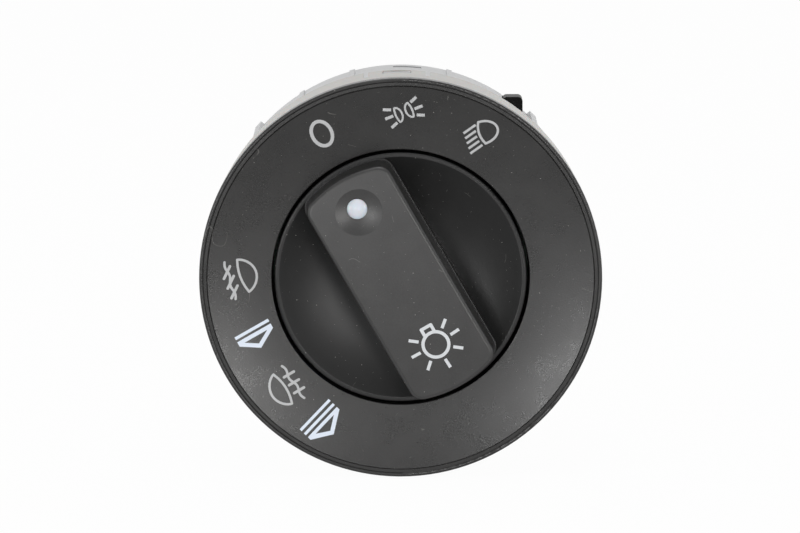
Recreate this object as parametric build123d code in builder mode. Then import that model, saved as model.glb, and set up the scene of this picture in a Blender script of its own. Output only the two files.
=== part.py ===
from build123d import *
import os
from math import cos, radians, sin, sqrt, tan

# Rotary headlight switch for a car's dash. All sizes are in millimetres. The switch turns about Y:
# the driver looks along +Y, +X is to the right and +Z is up. y = 0 is the flat lip of the front
# ring, where it sits on the dash. Clock angles run clockwise from the top, as the driver sees them.

# Front ring: the black bezel that the driver sees. Its lip stands proud of the skirt behind it
lip_w = 0.6
ring_depth = 3.0
bead_w = 0.9
groove_w = 0.9
groove_depth = 0.4
groove_slope = 0.25
face_drop = 0.08
dish_depth = 2.15
dish_sag = 0.2
face_wall = 1.6
ring_collar_wall = 1.3
ring_collar_board_gap = 2.4
hole_round = 0.25
lip_step = 0.3
lip_gap = 0.5
barb_h = 0.7
barb_len = 1.8
barb_w = 7.0
ring_barbs = 4

# Knob: scooped disc, skirt and boss
knob_gap = 0.6
knob_board_gap = 1.9
knob_wall = 1.75
knob_rim_w = 0.95
rim_outer_round = 0.45
rim_inner_round = 0.3
scoop_depth = 4.2
scoop_flat_r = 8.0
scoop_floor = 1.85
boss_r = 7.5
boss_gap = 0.4

# Grip cap: the bar across the knob
grip_clock = -30.0
grip_w = 20.0
grip_end_inset = 1.45
grip_rise = 9.25
grip_crown = 0.8
grip_draft = 2.0
grip_corner = 3.0
grip_edge = 0.9
grip_wall = 2.0
grip_top_wall = 2.2
seam_chamfer = 0.15
plinth_ledge = 0.35
plinth_round = 0.2
spigot_h = 2.5
spigot_wall = 1.2
spigot_gap = 0.1

# Pointer dot, a light pipe with a domed head
dot_inset = 7.1
lamp_tube_gap = 5.5
dot_d = 4.35
dimple_d = 10.0
dimple_depth = 0.7
dome_h = 1.0
dot_flange = 0.8
dot_flange_t = 1.0
dot_lamp_gap = 1.6

# Light guide: clear plate behind the face, with the skirt that fills the hole in the dash
skirt_wall = 1.2
skirt_end = 19.0
plate_gap = 0.2
plate_t = 2.0
guide_fit = 0.1
tongue_count = 4
tongue_clock = -1.1
tongue_w = 12.4
tongue_slot = 1.0
tongue_neck = 3.4
window_w = 6.1
window_edge = 1.2
window_len = 4.4
guide_stop_w = 3.6
post_r = 2.0
symbol_offset = 0.2
symbol_angles = (-30.0, 2.0, 30.0, -91.0, -113.0, -136.0, -152.0)

# Housing barrel with its deck
barrel_gap = 0.1
barrel_wall = 1.8
barrel_front = 4.0
deck_front = 16.0
deck_t = 2.0
bearing_len = 1.8
bearing_wall = 0.9
hook_h = 1.1
hook_len = 2.6
fastener_inset = 8.3
fastener_angles = (75.0, 165.0, -60.0)
fastener_post_r = 3.5
# Ribs on the outside of the barrel: two tall ones, and low ones, by clock angle
tall_rib_angles = (-48.5, 44.0)
tall_rib_h = 1.0
tall_rib_w = 1.8
low_rib_angles = (-31.8, -15.0, 15.0)
low_rib_h = 0.3
low_rib_w = 1.2
rib_start_gap = 0.5
rail_w = 2.4
rail_h = 10.8

# Rear cover and connector
cover_t = 1.6
cover_gap = 0.1
cover_hook_angles = (2.0, 122.0, 242.0)
cover_hook_w = 6.0
cover_hook_wall = 1.3
cover_hook_set = 1.4
cover_hook_nose = 1.0
cover_barb_h = 1.4
cover_barb_len = 1.2
shroud_z = -20.0
shroud_len = 14.0
shroud_wall = 1.6
shroud_round = 1.5
shroud_nose_w = 6.0
shroud_nose_h = 1.2
shroud_nose_len = 3.0
blade_w = 2.2
blade_t = 0.8
blade_pitch = 6.0
blade_column_count = 5
blade_row_count = 2
blade_reach = 9.0
blade_side_gap = 2.3
blade_end_gap = 3.0

# Circuit board and lamps
board_t = 1.6
board_gap = 0.5
board_bore_gap = 0.3
lamp_size = 3.0
lamp_h = 1.3
lamp_base_h = 0.8
lamp_lens_r = 1.2
lamp_gap = 0.4
pointer_angles = (-30.0, 0.0, 30.0)
pin_t = 0.6
pin_count = 4
pin_pitch = 2.54
pin_inset = 3.8
pin_proud = 0.8

# Screws
screw_r = 1.45
screw_clear_r = 1.6
screw_head_r = 2.5
screw_head_h = 1.6
screw_depth = 2.8
knob_screw_r = 1.5
knob_screw_head_r = 3.0
knob_screw_len = 8.0

# Rotor
rotor_play = 0.1
journal_fit = 0.05
flange_edge = 3.1
rotor_flange_t = 2.0
hub_shoulder = 2.0
rotor_nose = 2.5
rotor_wall = 4.0
shoulder_gap = 2.1
rotor_rear_wall = 1.3
key_w = 2.4
key_h = 1.0
key_fit = 0.1
step_angle = 30.0
valley_r = 2.3
valley_depth = 0.7

# Detent balls and springs
ball_r = 2.0
ball_gap = 0.05
ball_fit = 0.1
detent_block_w = 8.0
detent_block_gap = 0.6
detent_spring_len = 8.0
detent_seat_t = 3.25
detent_wire = 0.5
detent_coil_r = 1.4
detent_turns = 5.0

# Contact plate, tracks and bridges
chamber_len = 4.5
plate_thick = 2.0
plate_edge_gap = 0.8
plate_bore_margin = 1.0
track_t = 0.4
track_hub_gap = 1.8
track_pitch = 3.2
track_w = 1.8
track_gap_deg = 38.0
bridge_t = 0.3
bridge_w = 1.8
bridge_base = 3.0
bridge_reach = 4.2
bridge_gap = 0.05
bridge_count = 3
wall_w = 18.0
wall_margin = 0.5
wall_t = 1.5
wall_len = 13.0
fog_track_x = 4.0
fog_track_w = 2.6

# Release collar, clip and spring
clip_t = 1.0
clip_groove = 0.5
clip_inner_r = 6.3
clip_gap_w = 3.0
collar_len = 3.6
collar_fit = 0.1
push_travel = 2.5
push_wire = 0.7
push_coil_r = 6.3
push_turns = 2.5

# Shaft
shaft_w = 8.0
shaft_fit = 0.05
shaft_corner = 0.8
shoulder_h = 1.9
shoulder_t = 1.2
neck_r = 3.0
pull_travel = 8.0
shaft_clip_t = 0.8
shaft_clip_r = 5.0
shaft_clip_depth = 0.6
shaft_clip_gap = 3.0
shaft_tail = 0.4
shaft_tail_gap = 0.35

# Pull carriage
carriage_gap = 0.3
carriage_t = 2.5
carriage_play = 0.05
carriage_arm_h = 8.0
carriage_hub_r = 8.0
carriage_overlap = 3.0
rail_fit = 0.1
rail_end_gap = 0.2
tab_w = 14.0
tab_gap = 2.5
wiper_w = 1.8
wiper_t = 0.3
wiper_gap = 0.05
wiper_len = 2.5
wiper_base = 4.0

# Release latch
latch_x = 24.6
latch_w = 4.4
latch_len = 5.5
latch_cover_gap = 0.9
latch_proud = 1.9
latch_neck = 5.9
latch_travel = 3.0
latch_round = 1.0
latch_fit = 0.1
latch_shoulder = 1.0
latch_foot_h = 3.5
latch_guide_wall = 1.1
latch_spring_room = 4.3
latch_floor_t = 1.4
latch_wire = 0.6
latch_coil_r = 1.8
latch_turns = 5.0

# Radii, worked out from the shaft to the ring
shoulder_r = shaft_w / 2 + shoulder_h
rotor_bore_r = shoulder_r + shoulder_gap
bearing_r = rotor_bore_r + rotor_wall
plate_bore_r = bearing_r + plate_bore_margin
rotor_hub_r = plate_bore_r + hub_shoulder
inner_track_r = rotor_hub_r + track_hub_gap + track_w / 2
outer_track_r = inner_track_r + track_pitch
rotor_flange_r = outer_track_r + flange_edge
ball_centre_r = rotor_flange_r + ball_gap + ball_r
detent_end_r = ball_centre_r + ball_r + detent_spring_len
barrel_inner_r = detent_end_r + detent_seat_t
barrel_r = barrel_inner_r + barrel_wall
barrel_mid_r = barrel_r - barrel_wall / 2
skirt_inner_r = barrel_r + barrel_gap
skirt_r = skirt_inner_r + skirt_wall
ring_r = skirt_r + lip_w
face_r = ring_r - bead_w - groove_w
dot_r = bearing_r + bearing_wall + lamp_tube_gap
grip_end_r = dot_r + dot_inset
knob_r = grip_end_r + grip_end_inset
hole_r = knob_r + knob_gap
symbol_ring_r = (hole_r + face_r) / 2 + symbol_offset
fastener_ring_r = barrel_inner_r - fastener_inset
rail_r = barrel_inner_r - rail_h
pin_ring_r = barrel_inner_r - pin_inset
wall_z = plate_bore_r + wall_margin
tab_top = wall_z - tab_gap

# Other places worked out from the sizes above
shroud_w = (blade_column_count - 1) * blade_pitch + blade_w + 2 * (blade_side_gap + shroud_wall)
shroud_h = (blade_row_count - 1) * blade_pitch + blade_t + 2 * (blade_end_gap + shroud_wall)
crest_y = -ring_depth
face_edge_y = crest_y + face_drop
groove_y = crest_y + groove_depth
face_inner_y = crest_y + dish_depth
ring_collar_r = hole_r + ring_collar_wall
guide_outer_r = skirt_r - skirt_wall - plate_gap * 2
lip_r = skirt_r + journal_fit
deck_rear = deck_front + deck_t
plate_front = deck_rear + chamber_len
plate_rear = plate_front + plate_thick
board_front = deck_front - board_t
rotor_front = deck_front - rotor_nose
clip_front = rotor_front + clip_groove
collar_front = clip_front + clip_t
collar_rear = collar_front + collar_len
rotor_rear = plate_rear
spring_seat = rotor_rear - rotor_rear_wall
carriage_front = plate_rear + carriage_gap + pull_travel
carriage_rear = carriage_front + carriage_t
shaft_clip_front = carriage_rear + carriage_play
shaft_end = shaft_clip_front + shaft_clip_t + shaft_tail
cover_front = shaft_end + push_travel + shaft_tail_gap
barrel_end = cover_front + cover_t
knob_rear = board_front - push_travel - knob_board_gap
boss_end = rotor_front - push_travel - boss_gap
ring_collar_end = board_front - ring_collar_board_gap
window_start = skirt_end - window_edge - window_len
tongue_start = window_start - tongue_neck
scoop_r = knob_r - knob_rim_w
scoop_y = face_inner_y + scoop_depth
disc_back = scoop_y + scoop_floor
grip_spread = grip_rise * tan(radians(grip_draft))
grip_top = face_inner_y - grip_rise
crown_r = (grip_end_r**2 + grip_crown**2) / (2 * grip_crown)

# How far a cut runs past the piece that it goes through
overrun = 1.0


def facing(y):
    """Plane across the switch at depth y: x to the right, y up, normal towards the driver."""
    return Plane.XZ.offset(-y)


def radial(clock):
    """Plane through the axis at a clock angle: x runs outwards and y runs back into the dash."""
    c = radians(clock)
    return Plane(origin=(0, 0, 0), x_dir=(sin(c), 0, cos(c)), z_dir=(-cos(c), 0, sin(c)))


def edge_on(clock, radius):
    """Plane square to a radius: x runs clockwise, y runs back, normal points outwards."""
    c = radians(clock)
    return Plane(
        origin=(radius * sin(c), 0, radius * cos(c)), x_dir=(cos(c), 0, -sin(c)), z_dir=(sin(c), 0, cos(c))
    )


def grip_plane(y):
    """Plane across the switch at depth y, turned so that its y runs along the grip to the dot."""
    c = radians(grip_clock)
    return Plane(origin=(0, y, 0), x_dir=(cos(c), 0, -sin(c)), z_dir=(0, -1, 0))


def spot(radius, clock):
    """A place on a facing plane, by radius and clock angle."""
    return (radius * sin(radians(clock)), radius * cos(radians(clock)))


def face_depth(radius):
    """Depth of the straight chord of the dished face at a radius."""
    share = (radius - hole_r) / (face_r - hole_r)
    return face_inner_y + (face_edge_y - face_inner_y) * share


def crown_depth(along):
    """Depth of the crowned top of the grip at a distance along it."""
    return grip_top + crown_r - sqrt(crown_r**2 - along**2)


def grip_outline(half_w, end_r, corner):
    """The bar's plan: straight sides, ends round about the axis of the switch."""
    with BuildSketch() as plan:
        Circle(end_r)
        Rectangle(2 * half_w, 3 * end_r, mode=Mode.INTERSECT)
        fillet(plan.vertices(), corner)
    return plan.sketch


def coil(start, direction, length, coil_radius, wire, turns):
    """A round-wire compression spring, its ends just touching the planes that it sits between."""
    rise = length - wire
    axis = Vector(*direction)
    foot = Vector(*start) + axis * (wire / 2)
    with BuildPart() as spring:
        with BuildLine():
            path = Helix(rise / turns, rise, coil_radius, center=foot, direction=direction)
        with BuildSketch(Plane(origin=path @ 0, z_dir=path % 0)):
            Circle(wire / 2)
        sweep(path=path, is_frenet=True)
    return spring.part


def screw(x, z, head_y, towards, radius, head_radius, head_h, length):
    """A pan-head screw along Y. Its head sits at head_y, and towards is +1 for a screw driven back."""
    side = Plane(origin=(x, head_y, z), x_dir=(1, 0, 0), z_dir=(0, 0, 1) if towards > 0 else (0, 0, -1))
    slot_w, slot_d = head_radius * 0.3, head_h * 0.4
    with BuildPart() as body:
        with BuildSketch(side):
            with BuildLine():
                Polyline(
                    (0, -head_h),
                    (head_radius * 0.75, -head_h),
                    (head_radius, -head_h * 0.55),
                    (head_radius, 0),
                    (radius, 0),
                    (radius, length - radius),
                    (0, length),
                    close=True,
                )
            make_face()
        revolve(axis=Axis((x, head_y, z), (0, 1, 0)))
        top = Plane(origin=(x, head_y - towards * head_h, z), x_dir=(1, 0, 0), z_dir=(0, -towards, 0))
        with BuildSketch(top):
            Rectangle(head_radius * 1.2, slot_w)
            Rectangle(slot_w, head_radius * 1.2)
        extrude(amount=-slot_d, mode=Mode.SUBTRACT)
    return body.part


os.makedirs("parts", exist_ok=True)


# Front ring
with BuildPart() as front_ring:
    with BuildSketch(Plane.XY) as ring_section:
        with BuildLine():
            ThreePointArc(
                (hole_r, face_inner_y),
                ((hole_r + face_r) / 2, face_depth((hole_r + face_r) / 2) + dish_sag),
                (face_r, face_edge_y),
            )
            Polyline((face_r, face_edge_y), (face_r + groove_slope, groove_y), (ring_r - bead_w, groove_y))
            ThreePointArc((ring_r - bead_w, groove_y), (ring_r - bead_w / 2, crest_y), (ring_r, groove_y))
            Polyline(
                (ring_r, groove_y),
                (ring_r, 0),
                (lip_r, 0),
                (lip_r, -lip_step),
                (guide_outer_r + guide_fit, -lip_step),
                (guide_outer_r + guide_fit, face_depth(guide_outer_r) + face_wall),
                (ring_collar_r, face_depth(ring_collar_r) + face_wall),
                (ring_collar_r, ring_collar_end),
                (hole_r, ring_collar_end),
                (hole_r, face_inner_y),
            )
        make_face()
        hole_edge = ring_section.vertices().sort_by_distance((hole_r, face_inner_y))[0]
        fillet(hole_edge, hole_round)
    revolve(axis=Axis.Y)
    # barbs that hold the light guide's plate on the collar
    barb_front = face_depth(ring_collar_r) + face_wall + plate_gap + plate_t + journal_fit
    for n in range(ring_barbs):
        with BuildSketch(radial(45 + n * 360 / ring_barbs)):
            with BuildLine():
                Polyline(
                    (ring_collar_r - ring_collar_wall / 2, barb_front),
                    (ring_collar_r + barb_h, barb_front),
                    (ring_collar_r, barb_front + barb_len),
                    (ring_collar_r - ring_collar_wall / 2, barb_front + barb_len),
                    close=True,
                )
            make_face()
        extrude(amount=barb_w / 2, both=True)
front_ring.part.label = "front_ring"
export_step(front_ring.part, "parts/front_ring.step")


# Light guide: dished plate, skirt with snap tongues, and a light post behind each symbol
guide_bore_r = ring_collar_r + guide_fit
guide_front = face_depth(guide_bore_r) + face_wall + plate_gap
guide_edge = face_depth(guide_outer_r) + face_wall + plate_gap
stop_r = skirt_inner_r - guide_stop_w
post_end = board_front - lamp_h - lamp_gap
with BuildPart() as light_guide:
    with BuildSketch(Plane.XY):
        with BuildLine():
            Polyline(
                (guide_bore_r, guide_front),
                (guide_outer_r, guide_edge),
                (guide_outer_r, -lip_step),
                (skirt_r - lip_gap, -lip_step),
                (skirt_r - lip_gap, 0),
                (skirt_r, 0),
                (skirt_r, skirt_end),
                (skirt_inner_r, skirt_end),
                (skirt_inner_r, barrel_front),
                (stop_r, barrel_front),
                (stop_r, guide_edge + plate_t),
                (guide_bore_r, guide_front + plate_t),
                close=True,
            )
        make_face()
    revolve(axis=Axis.Y)
    with BuildSketch(facing(post_end)):
        for clock in symbol_angles:
            with Locations(spot(symbol_ring_r, clock)):
                Circle(post_r)
    extrude(amount=post_end - face_depth(symbol_ring_r) - face_wall - plate_t / 2)
    for n in range(tongue_count):
        middle = tongue_clock + n * 360 / tongue_count
        for side in (-1, 1):
            with BuildSketch(edge_on(middle, skirt_inner_r - overrun)):
                with Locations((side * (tongue_w + tongue_slot) / 2, (tongue_start + skirt_end) / 2)):
                    Rectangle(tongue_slot, skirt_end - tongue_start)
            extrude(amount=skirt_wall + 2 * overrun, mode=Mode.SUBTRACT)
        with BuildSketch(edge_on(middle, skirt_inner_r - overrun)):
            with Locations((0, window_start + window_len / 2)):
                Rectangle(window_w, window_len)
        extrude(amount=skirt_wall + 2 * overrun, mode=Mode.SUBTRACT)
light_guide.part.label = "light_guide"
export_step(light_guide.part, "parts/light_guide.step")


# Housing barrel
barb_back = cover_front - cover_hook_set
cover_window_len = cover_barb_len + cover_hook_nose
block_r = rotor_flange_r + detent_block_gap
ball_y = deck_rear + rotor_play + rotor_flange_t / 2
bore_start_r = ball_centre_r - ball_r - ball_fit
rail_start = plate_rear + journal_fit
latch_surface_z = sqrt(barrel_r**2 - latch_x**2)
latch_seat_z = latch_surface_z - latch_neck
latch_foot_z = latch_seat_z - latch_foot_h
latch_floor_z = latch_foot_z - latch_travel - latch_spring_room
latch_front = cover_front - latch_len - latch_cover_gap
latch_left = latch_x - latch_w / 2
latch_right = latch_x + latch_w / 2
latch_back = latch_front + latch_len
guide_left = latch_left - latch_shoulder - latch_fit
guide_right = latch_right + latch_shoulder + latch_fit
slot_left = latch_left - latch_fit
slot_right = latch_right + latch_fit
slot_front = latch_front - latch_fit
with BuildPart() as latch_guide:
    with BuildSketch(facing(slot_front - latch_guide_wall)):
        with BuildLine():
            Polyline(
                (guide_left - latch_guide_wall, latch_floor_z - latch_floor_t),
                (guide_right + latch_guide_wall, latch_floor_z - latch_floor_t),
                (guide_right + latch_guide_wall, barrel_r),
                (guide_left - latch_guide_wall, barrel_r),
                close=True,
            )
        make_face()
    extrude(amount=slot_front - latch_guide_wall - cover_front)
    with BuildSketch(facing(slot_front)):
        with BuildLine():
            Polyline(
                (guide_left, latch_floor_z),
                (guide_right, latch_floor_z),
                (guide_right, latch_seat_z),
                (slot_right, latch_seat_z),
                (slot_right, ring_r),
                (slot_left, ring_r),
                (slot_left, latch_seat_z),
                (guide_left, latch_seat_z),
                close=True,
            )
        make_face()
    extrude(amount=slot_front - barrel_end, mode=Mode.SUBTRACT)
    with BuildSketch(facing(0)):
        Circle(barrel_mid_r)
    extrude(amount=-barrel_end, mode=Mode.INTERSECT)

with BuildPart() as housing_barrel:
    with BuildSketch(Plane.XY):
        with BuildLine():
            Polyline(
                (bearing_r, deck_front - bearing_len),
                (bearing_r + bearing_wall, deck_front - bearing_len),
                (bearing_r + bearing_wall, deck_front),
                (barrel_inner_r, deck_front),
                (barrel_inner_r, barrel_front),
                (barrel_r, barrel_front),
                (barrel_r, barrel_end),
                (barrel_inner_r, barrel_end),
                (barrel_inner_r, deck_rear),
                (bearing_r, deck_rear),
                close=True,
            )
        make_face()
    revolve(axis=Axis.Y)
    # posts behind the deck that carry the contact plate
    with BuildSketch(facing(plate_front)):
        for clock in fastener_angles:
            with Locations(spot(fastener_ring_r, clock)):
                Circle(fastener_post_r)
    extrude(amount=chamber_len + deck_t / 2)
    with BuildSketch(facing(plate_front)):
        for clock in fastener_angles:
            with Locations(spot(fastener_ring_r, clock)):
                Circle(screw_r)
    extrude(amount=chamber_len + deck_t, mode=Mode.SUBTRACT)
    # blocks that hold the detent balls and springs, bored along the radius
    for side in (90, 270):
        with BuildSketch(edge_on(side, block_r)):
            with Locations((0, (deck_front + plate_front) / 2)):
                Rectangle(detent_block_w, plate_front - deck_front)
        extrude(amount=barrel_mid_r - block_r)
        with BuildSketch(edge_on(side, bore_start_r)):
            with Locations((0, ball_y)):
                Circle(ball_r + ball_fit)
        extrude(amount=detent_end_r - bore_start_r, mode=Mode.SUBTRACT)
    # holes for the pins between the board and the contact plate
    with BuildSketch(facing(deck_front)):
        with Locations((0, -pin_ring_r)):
            with GridLocations(pin_pitch, 1, pin_count, 1):
                Rectangle(2 * pin_t, 2 * pin_t)
    extrude(amount=-deck_t, mode=Mode.SUBTRACT)
    # hooks that the light guide's windows catch
    for n in range(tongue_count):
        with BuildSketch(radial(tongue_clock + n * 360 / tongue_count)):
            with BuildLine():
                Polyline(
                    (barrel_mid_r, window_start + journal_fit),
                    (barrel_r, window_start + journal_fit),
                    (barrel_r + hook_h, window_start + hook_len),
                    (barrel_r + hook_h, window_start + window_len - journal_fit),
                    (barrel_mid_r, window_start + window_len - journal_fit),
                    close=True,
                )
            make_face()
        extrude(amount=window_w / 2 - guide_fit, both=True)
    # ribs on the outside, behind the skirt, with sloped ends
    for clocks, height, width in (
        (tall_rib_angles, tall_rib_h, tall_rib_w),
        (low_rib_angles, low_rib_h, low_rib_w),
    ):
        for clock in clocks:
            with BuildSketch(radial(clock)):
                with BuildLine():
                    Polyline(
                        (barrel_mid_r, skirt_end + rib_start_gap),
                        (barrel_r, skirt_end + rib_start_gap),
                        (barrel_r + height, skirt_end + rib_start_gap + height),
                        (barrel_r + height, barrel_end - height),
                        (barrel_r, barrel_end),
                        (barrel_mid_r, barrel_end),
                        close=True,
                    )
                make_face()
            extrude(amount=width / 2, both=True)
    # rails for the pull carriage
    for side in (90, 270):
        with BuildSketch(edge_on(side, rail_r)):
            with Locations((0, (rail_start + cover_front) / 2)):
                Rectangle(rail_w, cover_front - rail_start)
        extrude(amount=barrel_mid_r - rail_r)
    # windows for the rear cover's hooks
    for clock in cover_hook_angles:
        with BuildSketch(edge_on(clock, barrel_inner_r - overrun)):
            with Locations((0, barb_back + journal_fit - cover_window_len / 2)):
                Rectangle(cover_hook_w + 2 * cover_gap, cover_window_len)
        extrude(amount=barrel_wall + 2 * overrun, mode=Mode.SUBTRACT)
    add(latch_guide.part)
    # slot for the latch, open to the rear
    with BuildSketch(facing(slot_front)):
        with BuildLine():
            Polyline(
                (slot_left, latch_seat_z),
                (slot_right, latch_seat_z),
                (slot_right, ring_r),
                (slot_left, ring_r),
                close=True,
            )
        make_face()
    extrude(amount=slot_front - barrel_end, mode=Mode.SUBTRACT)
housing_barrel.part.label = "housing_barrel"
export_step(housing_barrel.part, "parts/housing_barrel.step")


# Circuit board
with BuildPart() as circuit_board:
    with BuildSketch(facing(board_front)):
        Circle(barrel_inner_r - board_gap)
        Circle(bearing_r + bearing_wall + board_bore_gap, mode=Mode.SUBTRACT)
        for clock in fastener_angles:
            with Locations(spot(fastener_ring_r, clock)):
                Circle(screw_clear_r, mode=Mode.SUBTRACT)
        with Locations((0, -pin_ring_r)):
            with GridLocations(pin_pitch, 1, pin_count, 1):
                Rectangle(pin_t, pin_t, mode=Mode.SUBTRACT)
    extrude(amount=-board_t)
circuit_board.part.label = "circuit_board"
export_step(circuit_board.part, "parts/circuit_board.step")

with BuildPart() as board_pins:
    with BuildSketch(facing(board_front - pin_proud)):
        with Locations((0, -pin_ring_r)):
            with GridLocations(pin_pitch, 1, pin_count, 1):
                Rectangle(pin_t, pin_t)
    extrude(amount=board_front - pin_proud - plate_front)
board_pins.part.label = "board_pins"
export_step(board_pins.part, "parts/board_pins.step")

with BuildPart() as board_screws:
    for clock in fastener_angles:
        x, z = spot(fastener_ring_r, clock)
        add(screw(x, z, board_front, 1, screw_r, screw_head_r, screw_head_h, screw_depth + board_t))
board_screws.part.label = "board_screws"
export_step(board_screws.part, "parts/board_screws.step")


def lamps(radius, clocks):
    """Small lamps soldered to the front of the board."""
    with BuildPart() as group:
        for clock in clocks:
            with BuildSketch(facing(board_front)):
                with Locations(spot(radius, clock)):
                    Rectangle(lamp_size, lamp_size)
            extrude(amount=lamp_base_h)
            with BuildSketch(facing(board_front - lamp_base_h)):
                with Locations(spot(radius, clock)):
                    Circle(lamp_lens_r)
            extrude(amount=lamp_h - lamp_base_h)
    return group.part


symbol_leds = lamps(symbol_ring_r, symbol_angles)
symbol_leds.label = "symbol_leds"
export_step(symbol_leds, "parts/symbol_leds.step")

pointer_leds = lamps(dot_r, pointer_angles)
pointer_leds.label = "pointer_leds"
export_step(pointer_leds, "parts/pointer_leds.step")


# Contact plate, with the upright wall that carries the fog-light tracks
with BuildPart() as contact_plate:
    with BuildSketch(facing(plate_front)):
        Circle(barrel_inner_r - plate_edge_gap)
        Circle(plate_bore_r, mode=Mode.SUBTRACT)
        for clock in fastener_angles:
            with Locations(spot(fastener_ring_r, clock)):
                Circle(screw_clear_r, mode=Mode.SUBTRACT)
    extrude(amount=-plate_thick)
    with BuildSketch(facing(plate_front + plate_thick / 2)):
        with Locations((0, wall_z + wall_t / 2)):
            Rectangle(wall_w, wall_t)
    extrude(amount=-(plate_thick / 2 + wall_len))
contact_plate.part.label = "contact_plate"
export_step(contact_plate.part, "parts/contact_plate.step")

with BuildPart() as contact_tracks:
    with BuildSketch(facing(plate_front)):
        Circle(inner_track_r + track_w / 2)
        Circle(inner_track_r - track_w / 2, mode=Mode.SUBTRACT)
    extrude(amount=track_t)
    with BuildSketch(facing(plate_front)):
        Circle(outer_track_r + track_w / 2)
        Circle(outer_track_r - track_w / 2, mode=Mode.SUBTRACT)
        for n in range(bridge_count):
            with PolarLocations(outer_track_r, 1, start_angle=90 + (n + 0.5) * 360 / bridge_count):
                Rectangle(2 * track_w, outer_track_r * radians(track_gap_deg), mode=Mode.SUBTRACT)
    extrude(amount=track_t)
contact_tracks.part.label = "contact_tracks"
export_step(contact_tracks.part, "parts/contact_tracks.step")

with BuildPart() as fog_tracks:
    with BuildSketch(facing(plate_rear)):
        for side in (-1, 1):
            with Locations((side * fog_track_x, wall_z - track_t / 2)):
                Rectangle(fog_track_w, track_t)
    extrude(amount=-wall_len + track_t)
fog_tracks.part.label = "fog_tracks"
export_step(fog_tracks.part, "parts/fog_tracks.step")

with BuildPart() as plate_screws:
    for clock in fastener_angles:
        x, z = spot(fastener_ring_r, clock)
        add(screw(x, z, plate_rear, -1, screw_r, screw_head_r, screw_head_h, screw_depth + plate_thick))
plate_screws.part.label = "plate_screws"
export_step(plate_screws.part, "parts/plate_screws.step")


# Detent balls and springs
with BuildPart() as detent_balls:
    for side in (-1, 1):
        with Locations((side * ball_centre_r, ball_y, 0)):
            Sphere(ball_r)
detent_balls.part.label = "detent_balls"
export_step(detent_balls.part, "parts/detent_balls.step")

with BuildPart() as detent_springs:
    for side in (-1, 1):
        add(
            coil(
                (side * detent_end_r, ball_y, 0),
                (-side, 0, 0),
                detent_spring_len,
                detent_coil_r,
                detent_wire,
                detent_turns,
            )
        )
detent_springs.part.label = "detent_springs"
export_step(detent_springs.part, "parts/detent_springs.step")


# Rotor
journal_r = bearing_r - journal_fit
rear_journal_r = plate_bore_r - journal_fit
flange_front = deck_rear + rotor_play
flange_rear = flange_front + rotor_flange_t
with BuildPart() as rotor:
    with BuildSketch(Plane.XY):
        with BuildLine():
            Polyline(
                (rotor_bore_r, rotor_front),
                (journal_r, rotor_front),
                (journal_r, flange_front),
                (rotor_flange_r, flange_front),
                (rotor_flange_r, flange_rear),
                (rotor_hub_r, flange_rear),
                (rotor_hub_r, plate_front - rotor_play),
                (rear_journal_r, plate_front - rotor_play),
                (rear_journal_r, rotor_rear),
                (shoulder_r, rotor_rear),
                (shoulder_r, spring_seat),
                (rotor_bore_r, spring_seat),
                (rotor_bore_r, collar_front),
                (rotor_bore_r + clip_groove, collar_front),
                (rotor_bore_r + clip_groove, clip_front),
                (rotor_bore_r, clip_front),
                close=True,
            )
        make_face()
    revolve(axis=Axis.Y)
    # keys in the bore that turn the collar
    for side in (90, 270):
        with BuildSketch(edge_on(side, rotor_bore_r - key_h)):
            with Locations((0, (collar_front + spring_seat) / 2)):
                Rectangle(key_w, spring_seat - collar_front)
        extrude(amount=key_h + clip_groove)
    # detent valleys in the rim, one for each click under each ball
    with BuildSketch(facing(flange_front)):
        for side in (90, 270):
            for n in range(3):
                with Locations(spot(rotor_flange_r + valley_r - valley_depth, side - n * step_angle)):
                    Circle(valley_r)
    extrude(amount=-rotor_flange_t, mode=Mode.SUBTRACT)
rotor.part.label = "rotor"
export_step(rotor.part, "parts/rotor.step")

# Contact bridges on the rotor's rear face: a base with two sprung fingers each
finger_tip = plate_front - track_t - bridge_gap
with BuildPart() as rotor_contacts:
    for n in range(bridge_count):
        clock = n * 360 / bridge_count
        with BuildSketch(edge_on(clock, inner_track_r - bridge_w / 2)):
            with Locations((0, flange_rear + bridge_t / 2)):
                Rectangle(bridge_base, bridge_t)
        extrude(amount=outer_track_r - inner_track_r + bridge_w)
        for track_r in (inner_track_r, outer_track_r):
            with BuildSketch(edge_on(clock, track_r - bridge_w / 2)):
                with BuildLine():
                    Polyline(
                        (bridge_base / 2 - bridge_t, flange_rear + bridge_t / 2),
                        (bridge_base / 2 + bridge_t, flange_rear + bridge_t / 2),
                        (bridge_reach, finger_tip - bridge_t / 2),
                        (bridge_reach + bridge_t * 2, finger_tip - bridge_t * 2),
                    )
                    offset(amount=bridge_t / 2, side=Side.BOTH, mode=Mode.REPLACE)
                make_face()
            extrude(amount=bridge_w)
rotor_contacts.part.label = "rotor_contacts"
export_step(rotor_contacts.part, "parts/rotor_contacts.step")

with BuildPart() as collar_clip:
    with BuildSketch(facing(clip_front)):
        Circle(rotor_bore_r + clip_groove - journal_fit)
        Circle(clip_inner_r, mode=Mode.SUBTRACT)
        with Locations((0, rotor_bore_r)):
            Rectangle(clip_gap_w, 2 * (rotor_bore_r - clip_inner_r + overrun), mode=Mode.SUBTRACT)
    extrude(amount=-clip_t)
collar_clip.part.label = "collar_clip"
export_step(collar_clip.part, "parts/collar_clip.step")

push_spring = coil(
    (0, spring_seat, 0), (0, -1, 0), spring_seat - collar_rear, push_coil_r, push_wire, push_turns
)
push_spring.label = "push_spring"
export_step(push_spring, "parts/push_spring.step")


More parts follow.
